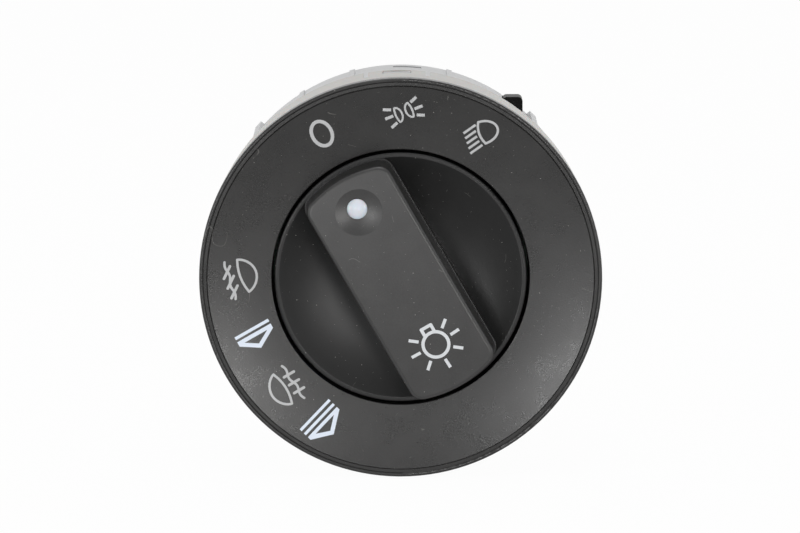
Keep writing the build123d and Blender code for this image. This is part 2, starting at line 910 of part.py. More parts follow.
# Release collar
with BuildPart() as release_collar:
    with BuildSketch(facing(collar_front)):
        Circle(rotor_bore_r - collar_fit)
        Rectangle(shaft_w + 2 * shaft_fit, shaft_w + 2 * shaft_fit, mode=Mode.SUBTRACT)
        for side in (-1, 1):
            with Locations((side * rotor_bore_r, 0)):
                Rectangle(2 * (key_h + key_fit), key_w + 2 * key_fit, mode=Mode.SUBTRACT)
    extrude(amount=-collar_len)
release_collar.part.label = "release_collar"
export_step(release_collar.part, "parts/release_collar.step")


# Knob shaft: square, with a shoulder in front of the collar and a round neck for the carriage
with BuildPart() as knob_shaft:
    with BuildSketch(facing(disc_back)) as square:
        Rectangle(shaft_w, shaft_w)
        chamfer(square.vertices(), shaft_corner)
    extrude(amount=disc_back - (carriage_front - carriage_play))
    with BuildSketch(facing(collar_front)):
        Circle(shoulder_r)
    extrude(amount=shoulder_t)
    with BuildSketch(facing(carriage_front - carriage_play)):
        Circle(neck_r)
    extrude(amount=carriage_front - carriage_play - shaft_end)
    with BuildSketch(facing(shaft_clip_front)):
        Circle(neck_r)
        Circle(neck_r - shaft_clip_depth, mode=Mode.SUBTRACT)
    extrude(amount=-shaft_clip_t, mode=Mode.SUBTRACT)
    with BuildSketch(facing(disc_back)):
        Circle(knob_screw_r)
    extrude(amount=-(knob_screw_len - scoop_floor), mode=Mode.SUBTRACT)
knob_shaft.part.label = "knob_shaft"
export_step(knob_shaft.part, "parts/knob_shaft.step")

with BuildPart() as shaft_clip:
    with BuildSketch(facing(shaft_clip_front)):
        Circle(shaft_clip_r)
        Circle(neck_r - shaft_clip_depth, mode=Mode.SUBTRACT)
        with Locations((0, -shaft_clip_r)):
            Rectangle(shaft_clip_gap, 2 * shaft_clip_r, mode=Mode.SUBTRACT)
    extrude(amount=-shaft_clip_t)
shaft_clip.part.label = "shaft_clip"
export_step(shaft_clip.part, "parts/shaft_clip.step")


# Knob body: scooped disc with a skirt, and a plinth that the grip cap sits on
grip_foot_w = grip_w / 2 + grip_spread
grip_foot_r = grip_end_r + grip_spread
foot_corner = grip_corner + grip_spread
under_r = knob_r - knob_wall
under_y = face_inner_y + 2 * scoop_floor
with BuildPart() as plinth:
    with BuildSketch(grip_plane(face_inner_y)):
        add(grip_outline(grip_foot_w + plinth_ledge, grip_foot_r + plinth_ledge, foot_corner))
    extrude(amount=-(scoop_depth + scoop_floor / 2))
    fillet(plinth.faces().sort_by(Axis.Y)[0].edges(), plinth_round)

with BuildPart() as knob_body:
    with BuildSketch(Plane.XY) as knob_section:
        with BuildLine():
            Polyline((0, scoop_y), (scoop_flat_r, scoop_y))
            TangentArc((scoop_flat_r, scoop_y), (scoop_r, face_inner_y), tangent=(1, 0))
            Polyline(
                (scoop_r, face_inner_y),
                (knob_r, face_inner_y),
                (knob_r, knob_rear),
                (under_r, knob_rear),
                (under_r, under_y),
                (scoop_flat_r, disc_back),
                (0, disc_back),
                (0, scoop_y),
            )
        make_face()
        rim = knob_section.vertices().filter_by_position(Axis.Y, face_inner_y, face_inner_y)
        fillet(rim.sort_by(Axis.X)[-1], rim_outer_round)
        rim = knob_section.vertices().sort_by_distance((scoop_r, face_inner_y))[0]
        fillet(rim, rim_inner_round)
    revolve(axis=Axis.Y)
    add(plinth.part)
    # rib that locates the cap, with a well inside it down to the disc's floor
    with BuildSketch(grip_plane(face_inner_y)):
        inset = grip_wall + spigot_gap
        add(grip_outline(grip_foot_w - inset, grip_foot_r - inset, foot_corner - inset / 2))
    extrude(amount=spigot_h)
    with BuildSketch(grip_plane(scoop_y)):
        inset = grip_wall + spigot_gap + spigot_wall
        add(grip_outline(grip_foot_w - inset, grip_foot_r - inset, foot_corner - inset / 2))
    extrude(amount=scoop_depth + spigot_h, mode=Mode.SUBTRACT)
    # boss with the square socket for the shaft
    with BuildSketch(facing(boss_end)):
        Circle(boss_r)
    extrude(amount=boss_end - disc_back + scoop_floor / 2)
    with BuildSketch(facing(boss_end)) as socket:
        Rectangle(shaft_w, shaft_w)
        chamfer(socket.vertices(), shaft_corner)
    extrude(amount=boss_end - disc_back, mode=Mode.SUBTRACT)
    # holes for the screw and for the light pipe
    with BuildSketch(grip_plane(disc_back)):
        Circle(knob_screw_r)
        with Locations((0, dot_r)):
            Circle(dot_d / 2)
    extrude(amount=scoop_floor * 2, mode=Mode.SUBTRACT)
knob_body.part.label = "knob_body"
export_step(knob_body.part, "parts/knob_body.step")


# Grip cap: hollow bar, crowned along its length, with a dimple round the dot
dot_surface = crown_depth(dot_r)
dimple_r = ((dimple_d / 2) ** 2 + dimple_depth**2) / (2 * dimple_depth)
dot_x, dot_z = spot(dot_r, grip_clock)
with BuildPart() as grip_cap:
    with BuildSketch(grip_plane(face_inner_y)):
        add(grip_outline(grip_foot_w, grip_foot_r, foot_corner))
    extrude(amount=grip_rise + overrun, taper=grip_draft)
    chamfer(grip_cap.faces().sort_by(Axis.Y)[-1].edges(), seam_chamfer)
    with BuildSketch(radial(grip_clock)):
        with BuildLine():
            ThreePointArc(
                (-grip_foot_r, crown_depth(grip_foot_r)),
                (0, grip_top),
                (grip_foot_r, crown_depth(grip_foot_r)),
            )
            Polyline(
                (grip_foot_r, crown_depth(grip_foot_r)),
                (grip_foot_r + overrun, crown_depth(grip_foot_r)),
                (grip_foot_r + overrun, face_inner_y),
                (-grip_foot_r - overrun, face_inner_y),
                (-grip_foot_r - overrun, crown_depth(grip_foot_r)),
                (-grip_foot_r, crown_depth(grip_foot_r)),
            )
        make_face()
    extrude(amount=grip_w, both=True, mode=Mode.INTERSECT)
    fillet(grip_cap.faces().sort_by(Axis.Y)[0].edges(), grip_edge)
    with Locations((dot_x, dot_surface + dimple_depth - dimple_r, dot_z)):
        Sphere(dimple_r, mode=Mode.SUBTRACT)
    cavity = face_inner_y - (grip_top + grip_crown + grip_top_wall)
    with BuildSketch(grip_plane(face_inner_y)):
        add(grip_outline(grip_foot_w - grip_wall, grip_foot_r - grip_wall, foot_corner - grip_wall / 2))
    extrude(amount=cavity, taper=grip_draft, mode=Mode.SUBTRACT)
    with BuildSketch(grip_plane(face_inner_y)):
        with Locations((0, dot_r)):
            Circle(dot_d / 2)
    extrude(amount=grip_rise + overrun, mode=Mode.SUBTRACT)
grip_cap.part.label = "grip_cap"
export_step(grip_cap.part, "parts/grip_cap.step")

# Pointer dot and its light pipe
dot_edge = dot_surface + dimple_depth
dot_stem_end = board_front - lamp_h - push_travel - dot_lamp_gap
ceiling = grip_top + grip_crown + grip_top_wall
with BuildPart() as indicator_lens:
    with BuildSketch(radial(grip_clock)):
        with BuildLine():
            TangentArc((dot_r, dot_edge - dome_h), (dot_r + dot_d / 2, dot_edge), tangent=(1, 0))
            Polyline(
                (dot_r + dot_d / 2, dot_edge),
                (dot_r + dot_d / 2, ceiling),
                (dot_r + dot_d / 2 + dot_flange, ceiling),
                (dot_r + dot_d / 2 + dot_flange, ceiling + dot_flange_t),
                (dot_r + dot_d / 2, ceiling + dot_flange_t),
                (dot_r + dot_d / 2, dot_stem_end),
                (dot_r, dot_stem_end),
                (dot_r, dot_edge - dome_h),
            )
        make_face()
    revolve(axis=Axis((dot_x, 0, dot_z), (0, 1, 0)))
indicator_lens.part.label = "indicator_lens"
export_step(indicator_lens.part, "parts/indicator_lens.step")

knob_screw = screw(0, 0, scoop_y, 1, knob_screw_r, knob_screw_head_r, screw_head_h, knob_screw_len)
knob_screw.label = "knob_screw"
export_step(knob_screw, "parts/knob_screw.step")


# Pull carriage
arm_reach = rail_r + carriage_overlap
with BuildPart() as pull_carriage:
    with BuildSketch(facing(carriage_front)):
        Circle(carriage_hub_r)
        Rectangle(2 * arm_reach, carriage_arm_h)
        with Locations((0, tab_top / 2)):
            Rectangle(tab_w, tab_top)
        Circle(neck_r + journal_fit, mode=Mode.SUBTRACT)
        for side in (-1, 1):
            with Locations((side * (rail_r - rail_end_gap + arm_reach) / 2, 0)):
                Rectangle(
                    arm_reach - rail_r + rail_end_gap, rail_w + 2 * rail_fit, mode=Mode.SUBTRACT
                )
    extrude(amount=-carriage_t)
pull_carriage.part.label = "pull_carriage"
export_step(pull_carriage.part, "parts/pull_carriage.step")

wiper_top = wall_z - track_t - wiper_gap
with BuildPart() as carriage_contacts:
    for side in (-1, 1):
        with BuildSketch(Plane.YZ.offset(side * fog_track_x - wiper_w / 2)):
            with BuildLine():
                Polyline(
                    (carriage_rear + wiper_t / 2, tab_top - wiper_base),
                    (carriage_rear + wiper_t / 2, tab_top),
                    (carriage_rear - wiper_len / 2, wiper_top - wiper_t / 2),
                    (carriage_rear - wiper_len, wiper_top - 3 * wiper_t),
                )
                offset(amount=wiper_t / 2, side=Side.BOTH, mode=Mode.REPLACE)
            make_face()
        extrude(amount=wiper_w)
carriage_contacts.part.label = "carriage_contacts"
export_step(carriage_contacts.part, "parts/carriage_contacts.step")


# Release latch: head through the barrel's slot, wider foot under the guide's seat
with BuildPart() as release_latch:
    with BuildSketch(facing(latch_front)) as latch_plan:
        with BuildLine():
            Polyline(
                (latch_left - latch_shoulder, latch_foot_z),
                (latch_right + latch_shoulder, latch_foot_z),
                (latch_right + latch_shoulder, latch_seat_z),
                (latch_right, latch_seat_z),
                (latch_right, latch_surface_z + latch_proud),
                (latch_left, latch_surface_z + latch_proud),
                (latch_left, latch_seat_z),
                (latch_left - latch_shoulder, latch_seat_z),
                close=True,
            )
        make_face()
        corner = latch_plan.vertices().group_by(Axis.Y)[-1]
        fillet(corner, latch_round)
    extrude(amount=-latch_len)
release_latch.part.label = "release_latch"
export_step(release_latch.part, "parts/release_latch.step")

latch_spring = coil(
    (latch_x, latch_front + latch_len / 2, latch_floor_z),
    (0, 0, 1),
    latch_foot_z - latch_floor_z,
    latch_coil_r,
    latch_wire,
    latch_turns,
)
latch_spring.label = "latch_spring"
export_step(latch_spring, "parts/latch_spring.step")


# Rear cover with the connector shroud
cover_r = barrel_inner_r - cover_gap
hook_r = sqrt(cover_r**2 - (cover_hook_w / 2) ** 2)
with BuildPart() as rear_cover:
    with BuildSketch(facing(cover_front)):
        Circle(cover_r)
    extrude(amount=-cover_t)
    # hooks that snap into the barrel's windows
    for clock in cover_hook_angles:
        with BuildSketch(radial(clock)):
            with BuildLine():
                Polyline(
                    (hook_r - cover_hook_wall, barb_back - cover_barb_len - cover_hook_nose),
                    (hook_r, barb_back - cover_barb_len),
                    (hook_r + cover_barb_h, barb_back),
                    (hook_r, barb_back),
                    (hook_r, cover_front + cover_t / 2),
                    (hook_r - cover_hook_wall, cover_front + cover_t / 2),
                    close=True,
                )
            make_face()
        extrude(amount=cover_hook_w / 2, both=True)
    # key that closes the barrel's slot behind the latch
    with BuildSketch(facing(latch_back + 2 * latch_fit)):
        with BuildLine():
            Polyline(
                (latch_left, latch_seat_z + latch_fit),
                (latch_right, latch_seat_z + latch_fit),
                (latch_right, barrel_r),
                (latch_left, barrel_r),
                close=True,
            )
        make_face()
        Circle(barrel_r - latch_fit, mode=Mode.INTERSECT)
    extrude(amount=latch_back + 2 * latch_fit - barrel_end)
    # connector shroud
    with BuildSketch(facing(barrel_end)):
        with Locations((0, shroud_z)):
            RectangleRounded(shroud_w, shroud_h, shroud_round)
    extrude(amount=-shroud_len)
    with BuildSketch(facing(barrel_end)):
        with Locations((0, shroud_z)):
            RectangleRounded(
                shroud_w - 2 * shroud_wall, shroud_h - 2 * shroud_wall, shroud_round / 2
            )
    extrude(amount=-shroud_len, mode=Mode.SUBTRACT)
    # nose that the plug's lock clips over
    shroud_top = shroud_z + shroud_h / 2
    with BuildSketch(Plane.YZ.offset(-shroud_nose_w / 2)):
        with BuildLine():
            Polyline(
                (barrel_end + shroud_len - shroud_nose_len, shroud_top - shroud_wall / 2),
                (barrel_end + shroud_len - shroud_nose_len, shroud_top + shroud_nose_h),
                (barrel_end + shroud_len, shroud_top),
                (barrel_end + shroud_len, shroud_top - shroud_wall / 2),
                close=True,
            )
        make_face()
    extrude(amount=shroud_nose_w)
    with BuildSketch(facing(cover_front)):
        with Locations((0, shroud_z)):
            with GridLocations(blade_pitch, blade_pitch, blade_column_count, blade_row_count):
                Rectangle(blade_w, blade_t)
    extrude(amount=-cover_t, mode=Mode.SUBTRACT)
rear_cover.part.label = "rear_cover"
export_step(rear_cover.part, "parts/rear_cover.step")

with BuildPart() as terminals:
    with BuildSketch(facing(plate_rear)):
        with Locations((0, shroud_z)):
            with GridLocations(blade_pitch, blade_pitch, blade_column_count, blade_row_count):
                Rectangle(blade_w, blade_t)
    extrude(amount=plate_rear - barrel_end - blade_reach)
terminals.part.label = "terminals"
export_step(terminals.part, "parts/terminals.step")
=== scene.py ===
from math import atan2, cos, pi, radians, sin

import bmesh
import bpy
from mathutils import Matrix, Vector


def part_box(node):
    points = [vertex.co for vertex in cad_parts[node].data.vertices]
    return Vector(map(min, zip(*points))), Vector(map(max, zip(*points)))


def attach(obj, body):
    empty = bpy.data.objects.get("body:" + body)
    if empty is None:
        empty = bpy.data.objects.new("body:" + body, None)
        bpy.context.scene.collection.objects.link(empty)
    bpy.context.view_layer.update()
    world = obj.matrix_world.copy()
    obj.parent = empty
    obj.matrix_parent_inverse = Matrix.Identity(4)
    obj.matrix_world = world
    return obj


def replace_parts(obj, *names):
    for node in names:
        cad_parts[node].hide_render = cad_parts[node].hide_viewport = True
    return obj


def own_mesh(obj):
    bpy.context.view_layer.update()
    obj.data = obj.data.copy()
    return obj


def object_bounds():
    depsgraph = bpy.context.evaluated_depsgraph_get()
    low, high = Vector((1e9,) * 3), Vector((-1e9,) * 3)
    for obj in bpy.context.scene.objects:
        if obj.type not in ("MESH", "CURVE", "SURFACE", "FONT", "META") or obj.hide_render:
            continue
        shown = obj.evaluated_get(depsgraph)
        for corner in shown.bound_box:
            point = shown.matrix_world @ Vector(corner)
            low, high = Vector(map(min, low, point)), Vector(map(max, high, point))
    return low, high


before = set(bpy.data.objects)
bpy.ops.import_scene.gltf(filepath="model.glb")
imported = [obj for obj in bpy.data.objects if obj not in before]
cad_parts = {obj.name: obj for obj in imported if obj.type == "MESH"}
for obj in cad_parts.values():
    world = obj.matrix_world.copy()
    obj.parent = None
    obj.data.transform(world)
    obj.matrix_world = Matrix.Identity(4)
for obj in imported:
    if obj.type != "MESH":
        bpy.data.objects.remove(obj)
cad_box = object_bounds()
scene = bpy.context.scene
scene.view_settings.view_transform = "Standard"
mm = 0.001

# Camera: straight in front of the switch and a little above it, far off with a long lens, so that
# the ring is almost a true circle and the skirt and barrel show as a sliver over its top edge.
camera_rise = radians(8.8)
camera_distance = 995 * mm
lens_length = 210
film_width = 36
ring_middle = Vector((-0.14 * mm, -3 * mm, 0))
aim_rise = 2.67 * mm
camera_data = bpy.data.cameras.new("camera")
camera_data.lens = lens_length
camera_data.sensor_width = film_width
camera_up = Vector((0, sin(camera_rise), cos(camera_rise)))
camera_back = Vector((0, -cos(camera_rise), sin(camera_rise)))
camera = bpy.data.objects.new("camera", camera_data)
camera.location = ring_middle + camera_up * aim_rise + camera_back * camera_distance
camera.rotation_euler = (pi / 2 - camera_rise, 0, 0)
scene.collection.objects.link(camera)
scene.camera = camera


# Housing barrel: the frame that all else hangs on, injection moulded in pale grey nylon.
# Its deck, posts, rails, hooks and latch guide are one moulding with the outer wall.
class Wire:
    """A node's output, on which sums can be written."""

    def __init__(self, graph, socket):
        self.graph = graph
        self.socket = socket

    def sum(self, operation, first, second):
        return self.graph.add("ShaderNodeMath", {"operation": operation}, {0: first, 1: second})

    def __add__(self, other):
        return self.sum("ADD", self, other)

    __radd__ = __add__

    def __sub__(self, other):
        return self.sum("SUBTRACT", self, other)

    def __rsub__(self, other):
        return self.sum("SUBTRACT", other, self)

    def __mul__(self, other):
        return self.sum("MULTIPLY", self, other)

    __rmul__ = __mul__

    def __gt__(self, other):
        return self.sum("GREATER_THAN", self, other)

    def __lt__(self, other):
        return self.sum("LESS_THAN", self, other)


class Graph:
    """A node tree that is built one node at a time."""

    def __init__(self, tree):
        self.nodes = tree.nodes
        self.links = tree.links

    def feed(self, socket, value):
        if isinstance(value, Wire):
            self.links.new(value.socket, socket)
        else:
            socket.default_value = value

    def add(self, kind, settings=None, values=None, output=0):
        """A new node, with its settings and its sockets' values or links. Gives one of its outputs."""
        node = self.nodes.new(kind)
        for name, value in (settings or {}).items():
            if name == "stops":
                ramp = node.color_ramp
                for element, (position, shade) in zip([ramp.elements[0], ramp.elements[-1]], value):
                    element.position = position
                    element.color = (shade, shade, shade, 1)
            else:
                setattr(node, name, value)
        for name, value in (values or {}).items():
            self.feed(node.inputs[name], value)
        return Wire(self, node.outputs[output])


class Finish(Graph):
    """The material of one kind of surface. Its patterns lie in the piece's own space."""

    def __init__(self, name):
        self.material = bpy.data.materials.new(name)
        self.material.use_nodes = True
        super().__init__(self.material.node_tree)
        self.shader = self.nodes["Principled BSDF"]
        self.place = self.add("ShaderNodeTexCoord", output="Object")

    def noise(self, size, detail=2.0, stretch=(1, 1, 1)):
        """Cloudy noise with lumps of about this size, longer where stretch is over 1."""
        narrow = tuple(1 / s for s in stretch)
        settings = {"vector_type": "POINT"}
        place = self.add("ShaderNodeMapping", settings, {"Vector": self.place, "Scale": narrow})
        scale = 0.5 / size
        return self.add("ShaderNodeTexNoise", {}, {"Vector": place, "Scale": scale, "Detail": detail})

    def ramp(self, value, low, high):
        """A share that climbs from 0 to 1 as value goes from low to high."""
        return self.add("ShaderNodeValToRGB", {"stops": ((low, 0), (high, 1))}, {"Fac": value})

    def blend(self, share, first, second):
        """A colour between two."""
        return self.add("ShaderNodeMix", {"data_type": "RGBA"}, {0: share, 6: first, 7: second}, 2)

    def channel(self, colour):
        """The red share of a colour, as a number."""
        return self.add("ShaderNodeSeparateColor", {}, {"Color": colour})

    def specks(self, spacing, size, share):
        """1 on small scattered spots of about this size, in a share of the cells."""
        cells = {"Vector": self.place, "Scale": 1 / spacing}
        near = self.add("ShaderNodeTexVoronoi", {}, cells, "Distance")
        cell = self.add("ShaderNodeTexVoronoi", {}, cells, "Color")
        pick = self.channel(cell)
        return (near < size / spacing) * (pick < share)

    def shade(self, colour, roughness, relief=None, depth=0.0, metallic=0.0):
        """Feed the shader. The relief's height, 0 to 1, stands for this depth."""
        self.feed(self.shader.inputs["Base Color"], colour)
        self.feed(self.shader.inputs["Roughness"], roughness)
        self.shader.inputs["Metallic"].default_value = metallic
        if relief:
            bump = self.add("ShaderNodeBump", {}, {"Distance": depth, "Height": relief})
            self.feed(self.shader.inputs["Normal"], bump)
        return self


def tint(colour, level):
    """A colour as a socket takes it, this much lighter or darker."""
    return tuple(c * level for c in colour) + (1,)


def moulded(name, colour, roughness, grain, depth, clouding=0.1):
    """Moulded plastic: an even colour with slow clouding, under the fine grain of the tool."""
    cloud_size = 9 * mm
    cloud_gloss = 0.08
    grain_gloss = 0.1
    finish = Finish(name)
    cloud = finish.noise(cloud_size)
    pits = finish.noise(grain, detail=3.0)
    share = finish.ramp(cloud, 0.3, 0.7)
    tone = finish.blend(share, tint(colour, 1 - clouding), tint(colour, 1 + clouding))
    gloss = roughness + (cloud - 0.5) * cloud_gloss + (pits - 0.5) * grain_gloss
    return finish.shade(tone, gloss, pits, depth)


def dress(finish, *names):
    """Give CAD pieces their finish."""
    for name in names:
        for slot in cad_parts[name].material_slots:
            slot.material = finish.material


barrel = moulded(
    "barrel_nylon", (0.60, 0.605, 0.61), roughness=0.42, grain=0.25 * mm, depth=0.006 * mm, clouding=0.03
)
dress(barrel, "housing_barrel")


# Circuit board: a ring of glass laminate under green lacquer, screwed to the deck's posts.
# The weave shows faintly through the lacquer, and four tinned pins pass through the deck.
weave_pitch = 0.8 * mm
weave_depth = 0.01 * mm
board = Finish("green_lacquer")
strands = {"Vector": board.place, "Scale": 1 / weave_pitch}
warp = board.channel(board.add("ShaderNodeTexWave", {"bands_direction": "X"}, strands))
weft = board.channel(board.add("ShaderNodeTexWave", {"bands_direction": "Z"}, strands))
weave = warp * weft
lacquer = board.blend(weave, (0.006, 0.075, 0.028, 1), (0.010, 0.115, 0.040, 1))
board.shade(lacquer, 0.22 + 0.1 * board.noise(4 * mm), weave, weave_depth)
dress(board, "circuit_board")


def drawn(name, colour, roughness, grain=0.12 * mm, stretch=(1, 1, 1), tarnish=0.25):
    """Bare metal, with the fine lines left by drawing or rolling and a patchy tarnish."""
    stain_size = 3 * mm
    stain_level = 0.45
    line_depth = 0.003 * mm
    finish = Finish(name)
    lines = finish.noise(grain, detail=3.0, stretch=stretch)
    stain = finish.ramp(finish.noise(stain_size), 0.35, 0.75)
    tone = finish.blend(stain * tarnish, tint(colour, 1), tint(colour, stain_level))
    gloss = roughness + (lines - 0.5) * 0.25 + stain * 0.1
    return finish.shade(tone, gloss, lines, line_depth, metallic=1.0)


tinned_brass = drawn("tinned_brass", (0.72, 0.69, 0.62), roughness=0.3, stretch=(1, 12, 1))
zinc_steel = drawn("zinc_plated_steel", (0.62, 0.63, 0.65), roughness=0.32, grain=0.2 * mm)
dress(tinned_brass, "board_pins")
dress(zinc_steel, "board_screws")

# Lamps: small white ceramic packages soldered to the board, each with a round yellow window.
# Seven stand behind the symbols on the ring, and three follow the dot of the knob.
window_depth = 0.5 * mm
window_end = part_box("symbol_leds")[0].y + window_depth
lamp = Finish("lamp_package")
window = lamp.add("ShaderNodeSeparateXYZ", {}, {"Vector": lamp.place}, "Y") < window_end
phosphor = lamp.blend(lamp.noise(0.3 * mm), (0.85, 0.58, 0.08, 1), (0.9, 0.68, 0.16, 1))
package = lamp.blend(window, (0.78, 0.77, 0.72, 1), phosphor)
lamp.shade(package, 0.45 - 0.25 * window, lamp.noise(0.2 * mm), 0.004 * mm)
dress(lamp, "symbol_leds", "pointer_leds")

# Contact plate: natural nylon, closes the rotor's chamber and carries the copper tracks.
# The tracks are stamped from copper and staked to it, and have tarnished a little.
plate = moulded(
    "plate_nylon", (0.55, 0.52, 0.44), roughness=0.48, grain=0.2 * mm, depth=0.006 * mm, clouding=0.05
)
track = drawn("stamped_copper", (0.80, 0.42, 0.27), roughness=0.28, stretch=(3, 1, 3), tarnish=0.4)
dress(plate, "contact_plate")
dress(track, "contact_tracks", "fog_tracks")
dress(zinc_steel, "plate_screws")

# Rotor: nylon drum with three detent valleys each side, in which sprung steel balls click.
# Three bridges of spring steel ride on its rear face and join the tracks in pairs.
rotor = moulded(
    "rotor_nylon", (0.60, 0.12, 0.07), roughness=0.4, grain=0.2 * mm, depth=0.005 * mm, clouding=0.06
)
spring_steel = drawn("spring_steel", (0.50, 0.50, 0.51), roughness=0.24, grain=0.08 * mm)
dress(rotor, "rotor")
dress(spring_steel, "rotor_contacts", "detent_balls", "detent_springs")


# Release collar: acetal ring keyed in the rotor's bore and held by a steel clip. Behind it stands
# the coil spring that returns the knob after a push.
merge_distance = 0.0005 * mm


def sprung(node, body):
    """A coil spring in the CAD spring's place, that moves with this body."""
    coil = bmesh.new()
    coil.from_mesh(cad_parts[node].data)
    bmesh.ops.remove_doubles(coil, verts=coil.verts, dist=merge_distance)
    mesh = bpy.data.meshes.new(node + "_coil")
    coil.to_mesh(mesh)
    coil.free()
    mesh.materials.clear()
    mesh.materials.append(spring_steel.material)
    piece = bpy.data.objects.new(node + "_coil", mesh)
    scene.collection.objects.link(piece)
    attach(piece, body)
    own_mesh(piece)
    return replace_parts(piece, node)


collar = moulded(
    "collar_acetal", (0.022, 0.022, 0.023), roughness=0.3, grain=0.15 * mm, depth=0.003 * mm
)
dress(collar, "release_collar")
dress(spring_steel, "collar_clip", "push_spring")
sprung("push_spring", "rotor")

# Knob shaft: square black nylon bar that turns the rotor and slides through it.
# A clip on its neck holds the white carriage, whose two wipers reach up to the fog-light tracks.
shaft = moulded("shaft_nylon", (0.018, 0.018, 0.018), roughness=0.42, grain=0.2 * mm, depth=0.005 * mm)
carriage = moulded(
    "carriage_acetal", (0.72, 0.71, 0.67), roughness=0.34, grain=0.2 * mm, depth=0.004 * mm, clouding=0.03
)
dress(shaft, "knob_shaft")
dress(spring_steel, "shaft_clip", "carriage_contacts")
dress(zinc_steel, "knob_screw")
dress(carriage, "pull_carriage")

# Release latch: black sliding tab of acetal in its slot at the top right of the barrel. A small
# coil spring pushes it out.
latch = moulded(
    "latch_acetal", (0.008, 0.008, 0.008), roughness=0.36, grain=0.18 * mm, depth=0.004 * mm
)
latch.shader.inputs["Specular IOR Level"].default_value = 0.05
dress(latch, "release_latch")
dress(spring_steel, "latch_spring")
sprung("latch_spring", "housing")

# Rear cover: black glass-filled nylon that snaps into the barrel, with the shroud of the plug
# socket. Short glass fibres show as pale flecks in the surface, and the blades are tinned brass.
fleck_size = 0.16 * mm
fleck_stretch = (1, 1, 4)
cover = Finish("glass_filled_nylon")
fibres = cover.ramp(cover.noise(fleck_size, detail=1.0, stretch=fleck_stretch), 0.62, 0.74)
skin = cover.noise(0.3 * mm, detail=3.0)
flecked = cover.blend(fibres * 0.5, (0.014, 0.014, 0.015, 1), (0.060, 0.060, 0.062, 1))
cover.shade(flecked, 0.46 + 0.12 * (skin - 0.5), skin, 0.010 * mm)
dress(cover, "rear_cover")
dress(tinned_brass, "terminals")

# Light guide: milky polycarbonate. Its skirt fills the hole in the dash, four tongues snap over
# the barrel's hooks, and posts behind the face carry light to the symbols.
guide = moulded(
    "milky_polycarbonate",
    (0.43, 0.415, 0.385),
    roughness=0.34,
    grain=0.4 * mm,
    depth=0.004 * mm,
    clouding=0.02,
)
guide.shader.inputs["Subsurface Weight"].default_value = 0.25
guide.shader.inputs["Subsurface Scale"].default_value = 1.2 * mm
guide.shader.inputs["Coat Weight"].default_value = 0.1
dress(guide, "light_guide")


# Front ring: the dished bezel, black polycarbonate with an eroded grain and a soft lacquer.
# A bead runs round its rim with a groove inside it, and dust and faint rubs lie on the face.
def handled(name, colour, roughness, grain, depth, dust, rubbed=0.06):
    """Black plastic that has been handled: grain, faint rubs, dust, and a few short hairs."""
    cloud_size, mottle_size, streak_size = 14 * mm, 2.6 * mm, 0.35 * mm
    lint_spacing, lint_size = 2.1 * mm, 0.085 * mm
    dust_spacing, dust_size = 0.75 * mm, 0.045 * mm
    hair_bend, hair_spacing = 2.2 * mm, 3.5 * mm
    dust_colour = (0.34, 0.33, 0.31, 1)
    finish = Finish(name)
    grit = finish.noise(grain, detail=3.0)
    cloud = finish.noise(cloud_size)
    mottle = finish.noise(mottle_size, detail=4.0)
    streaks = finish.noise(streak_size, detail=2.0, stretch=(14, 3, 1))
    rubs = finish.ramp(streaks, 0.66, 0.74) * finish.ramp(cloud, 0.45, 0.6)
    lint = finish.specks(lint_spacing, lint_size, dust * 0.6)
    lint = lint + finish.specks(dust_spacing, dust_size, dust * 0.5)
    curl = finish.noise(hair_bend, detail=0.0)
    thread = (curl > 0.494) * (curl < 0.506)
    hairs = thread * finish.ramp(finish.noise(hair_spacing), 0.66, 0.68)
    patches = finish.ramp(grit * 0.5 + mottle * 0.5, 0.38, 0.62)
    clean = finish.blend(patches, tint(colour, 0.8), tint(colour, 1.2))
    dusty = finish.blend(lint * 0.8 + hairs * 0.2, clean, dust_colour)
    gloss = roughness + (cloud - 0.5) * 0.10 + (mottle - 0.5) * 0.12 + (grit - 0.5) * 0.14
    return finish.shade(dusty, gloss - rubs * rubbed + lint * 0.3, grit, depth)


ring = handled(
    "ring_lacquer",
    (0.0110, 0.0106, 0.0103),
    roughness=0.30,
    grain=0.17 * mm,
    depth=0.018 * mm,
    dust=0.7,
    rubbed=0.03,
)
ring.shader.inputs["Specular IOR Level"].default_value = 0.42
dress(ring, "front_ring")


# Symbols on the ring: lasered through the black lacquer down to the milky guide, but for the two
# printed pull marks. Each lies on the dished face at its clock angle and radius, and is drawn in
# millimetres clockwise and outwards from there.

# A mark is a film, a little off the surface. It is drawn flat at mark_start, in front of the
# whole part, and cast back onto the surface. Where strokes cross, one stands mark_over prouder.
mark_lift = 0.004 * mm
mark_thick = 0.022 * mm
mark_over = 0.006 * mm
mark_start = -12 * mm
cast_length = 100 * mm
corner_step = radians(20)
cap_angles = [radians(a) for a in (30, 60, 90, 120, 150)]


def spoke(clock, length=1.0):
    """A flat vector of this length towards this clock angle."""
    return Vector((sin(radians(clock)), cos(radians(clock)))) * length


def oval(half_u, half_v, count=28):
    """A round or oval path."""
    turns = [2 * pi * n / count for n in range(count)]
    return [(half_u * cos(turn), half_v * sin(turn)) for turn in turns]


def turned(vector, angle):
    """A flat vector, turned counterclockwise."""
    x, y = vector
    return Vector((x * cos(angle) - y * sin(angle), x * sin(angle) + y * cos(angle)))


